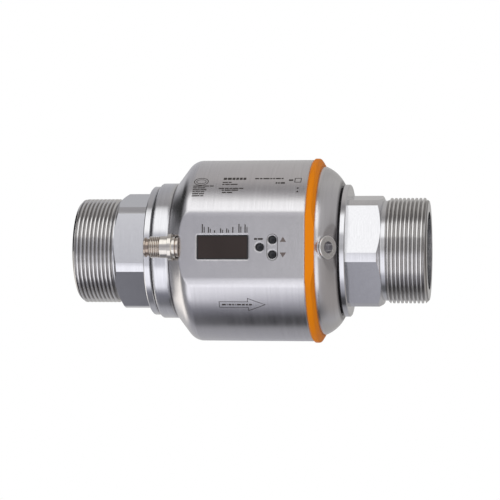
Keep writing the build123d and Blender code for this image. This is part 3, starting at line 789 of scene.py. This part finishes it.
def fitting(
    name, x_end, x_hex, x_flange, x_face, flange_r, spigot_end, turn, relief, materials
):
    out = 1 if x_end > x_face else -1
    angles, edges = hexagon_columns(turn)
    lathe = Lathe(angles)
    x_relief = x_hex + out * relief

    def pipe_radius(x, angle):
        cut = PIPE_R - THREAD_DEPTH * (1 - thread_height(x, angle, PITCH))
        return min(cut, thread_limit(x, x_end, x_relief))

    def hexagon_start(angle):
        r = hexagon_r(angle, turn)
        return x_hex - out * (r - HEX_R) * tan(HEX_CHAMFER_TILT), r

    def hexagon_end(angle):
        return x_flange, hexagon_r(angle, turn)

    # from the thread inwards: each row's place, and how sharp its edge is
    rows = (
        ((x_relief, PIPE_R - RELIEF_DEPTH), 0.4),
        ((x_hex, PIPE_R - RELIEF_DEPTH), 0.3),
        ((x_hex, HEX_R), 0.8),
        (hexagon_start, 0.8),
        (hexagon_end, 0.3),
        ((x_flange, flange_r - FLANGE_CHAMFER), 0.8),
        ((x_flange - out * FLANGE_CHAMFER, flange_r), 0.8),
        ((x_face + out * FLANGE_CHAMFER, flange_r), 0.8),
        ((x_face, flange_r - FLANGE_CHAMFER), 0.8),
        ((x_face, SPIGOT_R), 0.3),
        ((spigot_end, SPIGOT_R), 0.5),
        ((spigot_end, BORE_R), 0.5),
    )

    def cut_thread(x_from, x_to):
        lathe.material = THREAD_SLOT
        lathe.thread(x_from, x_to, PITCH, THREAD_ROWS, pipe_radius)
        lathe.material = PLAIN_SLOT

    # the section runs with rising x over the outside, and closes along the bore
    if out < 0:
        lathe.add((x_end, BORE_R))
        cut_thread(x_end, x_relief)
        rings = {position: lathe.add(position, sharp) for position, sharp in rows}
    else:
        rings = {position: lathe.add(position, sharp) for position, sharp in reversed(rows)}
        cut_thread(x_relief, x_end)
        lathe.add((x_end, BORE_R))
    lathe.ridges(rings[hexagon_start], rings[hexagon_end], edges, 0.8)
    metals = (materials["turned_steel"], materials["thread_steel"])
    return finish_mesh(name, lathe.close(name), metals, bevel_mm=0.2)


def make_fittings(materials):
    inlet = fitting(
        "inlet_fitting_threaded",
        x_end=-100,
        x_hex=-75.8,
        x_flange=-57.4,
        x_face=-53.4,
        flange_r=36.9,
        spigot_end=-46.4,
        turn=11.2,
        relief=1.0,
        materials=materials,
    )
    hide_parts("inlet_fitting")
    outlet = fitting(
        "outlet_fitting_threaded",
        x_end=100,
        x_hex=74.6,
        x_flange=55.8,
        x_face=52.4,
        flange_r=37.5,
        spigot_end=45.4,
        turn=21.3,
        relief=2.3,
        materials=materials,
    )
    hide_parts("outlet_fitting")


# Cable connector with its fine thread and the two flats on its body
def make_connector(materials):
    thread_start, thread_end, body_end = -51.3, -44.9, -40.4
    root_r, run_out_r = CONNECTOR_R - CONNECTOR_THREAD_DEPTH, 5.6
    edge = degrees(asin(CONNECTOR_R / CONNECTOR_BODY_R))
    angles, edges = [], set()
    stops = (-edge, edge, 180 - edge, 180 + edge, 360 - edge)
    for low, high in zip(stops, stops[1:]):
        edges.add(len(angles))
        steps = max(CONNECTOR_MIN_COLUMNS, round((high - low) / CONNECTOR_COLUMN))
        angles += [low + (high - low) * j / steps for j in range(steps)]
    lathe = Lathe(angles, CONNECTOR_Y)

    def body_r(angle):
        side = abs(sin(radians(angle)))
        return min(CONNECTOR_BODY_R, CONNECTOR_R / max(side, 0.01))

    def thread_r(x, angle):
        groove = 1 - thread_height(x, angle, CONNECTOR_PITCH)
        cut = CONNECTOR_R - CONNECTOR_THREAD_DEPTH * groove
        return min(cut, root_r + abs(x - thread_start), run_out_r + abs(x - thread_end))

    # the section's rows as x, radius and how sharp the edge is: first the socket's rim
    for x, r, sharp in (
        (-53.9, 4.2, 1.0),
        (-53.9, 5.5, 1.0),
        (-53.0, 5.5, 1.0),
        (-53.0, 4.8, 0.5),
        (thread_start, 4.8, 0.5),
    ):
        lathe.add((x, r), sharp)
    lathe.thread(thread_start, thread_end, CONNECTOR_PITCH, CONNECTOR_THREAD_ROWS, thread_r)
    front = lathe.add(lambda angle: (thread_end, body_r(angle)), 1.0)
    back = lathe.add(lambda angle: (body_end, body_r(angle)), 0.5)
    lathe.ridges(front, back, edges, 1.0)
    # then the foot in the housing, and the socket's floor
    for x, r in (
        (body_end, 7.7),
        (-38.4, 7.7),
        (-38.4, 6.0),
        (-36.6, 6.0),
        (-36.6, 5.3),
        (-36.0, 5.3),
        (-36.0, 5.7),
        (-34.8, 5.7),
        (-34.8, 1.5),
        (-36.85, 1.5),
        (-36.85, 4.2),
    ):
        lathe.add((x, r), 0.8)
    name = "connector_threaded"
    metals = (materials["nickel"],)
    connector = finish_mesh(name, lathe.close(name), metals, bevel_mm=0.12)
    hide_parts("connector_shell")


# Marks: thin plates of ink, on the display flat or wrapped round the body
def on_flat(x, s, lift):
    return Vector((x, -FLAT - lift, s)) * MM


def round_body(centre):
    def place(x, s, lift):
        angle = radians(centre) + s / BODY_R
        return Vector((x, -(BODY_R + lift) * cos(angle), (BODY_R + lift) * sin(angle))) * MM

    return place


def ink_plate(bm, place, corners):
    """A convex plate of ink with its top just above the surface and its foot just below."""
    top = [bm.verts.new(place(x, s, INK_LIFT)) for x, s in corners]
    foot = [bm.verts.new(place(x, s, -INK_LIFT)) for x, s in corners]
    bm.faces.new(top)
    bm.faces.new(list(reversed(foot)))
    for i in range(len(corners)):
        j = (i + 1) % len(corners)
        bm.faces.new((top[i], foot[i], foot[j], top[j]))


def left_of(start, end):
    step = (end - start).normalized()
    return Vector((-step.y, step.x))


def mitred_sides(points, width, closed):
    """The line's two sides at each of its points, with mitred corners."""
    sides = []
    for i, here in enumerate(points):
        normals = []
        if i or closed:
            normals.append(left_of(points[i - 1], here))
        if i < len(points) - 1 or closed:
            normals.append(left_of(here, points[(i + 1) % len(points)]))
        mitre = sum(normals, Vector((0, 0))).normalized()
        reach = width / 2 / max(mitre.dot(normals[0]), MITRE_LIMIT)
        sides.append((here + mitre * reach, here - mitre * reach))
    return sides


def ink_line(bm, place, points, width, closed=False):
    """A line of even width through the points, as one strip of ink, or a loop if closed."""
    points = [Vector(point) for point in points]
    sides = mitred_sides(points, width, closed)
    stations = []
    for i in range(len(points) if closed else len(points) - 1):
        k = (i + 1) % len(points)
        steps = max(1, round((points[k] - points[i]).length / INK_STEP))
        for j in range(steps):
            stations.append([a.lerp(b, j / steps) for a, b in zip(sides[i], sides[k])])
    if not closed:
        stations.append(sides[-1])
    rows = []
    for first, second in stations:
        ring = (
            (first, INK_LIFT), (second, INK_LIFT), (second, -INK_LIFT), (first, -INK_LIFT),
        )
        rows.append([bm.verts.new(place(corner.x, corner.y, lift)) for corner, lift in ring])
    for i in range(len(rows) if closed else len(rows) - 1):
        here, after = rows[i], rows[(i + 1) % len(rows)]
        for j in range(4):
            k = (j + 1) % 4
            bm.faces.new((here[j], here[k], after[k], after[j]))
    if not closed:
        bm.faces.new(rows[0])
        bm.faces.new(list(reversed(rows[-1])))


def arc(x, s, rx, rs, start, end, steps):
    turns = [radians(start + (end - start) * i / steps) for i in range(steps + 1)]
    return [(x + rx * cos(a), s + rs * sin(a)) for a in turns]


def oval(bm, place, x, s, rx, rs, width, steps):
    ink_line(bm, place, arc(x, s, rx, rs, 0, 360, steps)[:-1], width, closed=True)


def dashes(bm, place, x_from, s, height, lengths, gap=0.6):
    """A row of plain bars in place of a line of print."""
    x = x_from
    for length in lengths:
        ink_line(bm, place, [(x, s), (x + length, s)], height)
        x += length + gap


def ink_object(name, bm, material):
    bmesh.ops.recalc_face_normals(bm, faces=bm.faces)
    mesh = bpy.data.meshes.new(name)
    bm.to_mesh(mesh)
    bm.free()
    return finish_mesh(name, mesh, (material,))


def make_window_ticks(ink):
    """A scale of tick marks above the window."""
    bm = bmesh.new()
    first, pitch, foot = -21.6, 3.4, 7.9
    for i, length in enumerate((4.8, 3.2, 1.4, 2.4, 2.4, 3.2, 4.9, 4.6)):
        x = first + pitch * i
        ink_line(bm, on_flat, [(x, foot), (x, foot + length)], 0.62)
        if i % 3 != 2:
            x += 1.05
            ink_line(bm, on_flat, [(x, foot), (x, foot + length * 0.7)], 0.5)
    ink_object("window_ticks", bm, ink)


def make_button_marks(ink, pale_ink):
    """Bars over the enter button, an outline round the arrow buttons, and two triangles."""
    bm = bmesh.new()
    dashes(bm, on_flat, 7.2, 4.5, 1.0, (1.7, 2.8), 0.35)
    x, reach, r = 17.3, 4.2, 2.95
    outline = arc(x, reach, r, r, 0, 180, 16) + arc(x, -reach, r, r, 180, 360, 16)
    ink_line(bm, on_flat, outline, 0.3, closed=True)
    ink_object("button_outline", bm, ink)

    bm = bmesh.new()
    for side in (1, -1):
        ink_plate(bm, on_flat, [(21.4, side * 2.9), (24.9, side * 2.9), (23.15, side * 5.7)])
    ink_object("button_triangles", bm, pale_ink)


def make_flow_arrow(ink):
    """The flow arrow's outline, low on the body, with plain bars in it."""
    bm = bmesh.new()
    place = round_body(-37.5)
    tail, neck, tip, half_shaft, half_head = -13.0, 3.0, 12.5, 1.9, 4.2
    upper = [(tail, half_shaft), (neck, half_shaft), (neck, half_head)]
    lower = [(x, -s) for x, s in reversed(upper)]
    ink_line(bm, place, [*upper, (tip, 0.0), *lower], 0.32, closed=True)
    dashes(bm, place, -11.6, 0, 1.0, (2.2, 0.5, 1.4, 1.0, 0.5, 2.3, 1.6, 1.2, 1.7), 0.55)
    ink_object("flow_arrow", bm, ink)


def make_print_bars(ink):
    """Rows of plain bars high on the body, two ovals in each other and a small square."""
    bm = bmesh.new()
    seal = round_body(45.8)
    oval(bm, seal, -24.5, 0, 3.9, 3.0, 0.42, 40)
    oval(bm, seal, -24.5, 0, 2.7, 1.7, 0.34, 32)
    high, middle, low, right = (round_body(angle) for angle in (48.5, 44.0, 38.0, 46.6))
    dashes(bm, high, -12.2, 0, 1.9, (1.9, 2.2, 1.6, 1.6, 1.6, 1.6), 0.45)
    dashes(bm, high, 5.5, 0, 1.1, (2.2, 1.4, 3.4, 1.1, 1.0, 2.8, 1.0), 0.5)
    dashes(bm, middle, -12.4, 0.9, 0.8, (3.0, 1.6), 0.4)
    dashes(bm, middle, -12.4, -0.8, 0.8, (1.2, 2.6, 4.0), 0.4)
    dashes(bm, middle, 17.4, 0.2, 1.2, (0.9, 0.9, 2.4), 0.5)
    rows = ((5.2, 3.4, 2.2), (2.2, 4.4), (4.0, 3.4), (1.4, 2.6, 2.0), (3.6, 2.8), (4.4, 1.8))
    for i, lengths in enumerate(rows):
        dashes(bm, low, -28.6, 3.4 - 1.45 * i, 0.75, lengths, 0.35)
    dashes(bm, low, -14.0, 1.4, 0.8, (3.0, 2.2, 1.6, 3.0, 2.4), 0.4)
    dashes(bm, low, -12.0, 0.1, 0.8, (1.0, 3.4, 3.8), 0.4)
    dashes(bm, low, -12.0, -1.6, 0.8, (2.4, 3.0), 0.4)
    square = [(28.0, -1.6), (31.4, -1.6), (31.4, 1.8), (28.0, 1.8)]
    ink_line(bm, right, square, 0.42, closed=True)
    dashes(bm, right, 24.6, 0.2, 1.2, (2.4,))
    dashes(bm, low, 29.6, 1.4, 1.0, (1.0,))
    dashes(bm, low, 29.6, -1.2, 1.0, (1.0,))
    ink_object("print_bars", bm, ink)


def make_marks(materials):
    ink = materials["print_ink"]
    make_window_ticks(ink)
    make_button_marks(ink, materials["mark_ink"])
    make_flow_arrow(ink)
    make_print_bars(ink)


# Materials of the nodes that the frame brings
def dress_nodes(materials):
    special = {"flow_tube": "collar_steel", "cap_plug": "plug_steel"}
    for part in frame["record"]["subparts"]:
        shown = frame["nodes"].get(part["node"])
        if shown is None:
            continue
        name = special.get(part["node"], part["material_slot"])
        shown.data.materials.clear()
        shown.data.materials.append(materials[name])


make_camera()
make_world()
make_tent()
make_floor()
materials = make_materials()
dress_nodes(materials)
make_fittings(materials)
make_connector(materials)
make_marks(materials)

scene.view_settings.view_transform = "Standard"
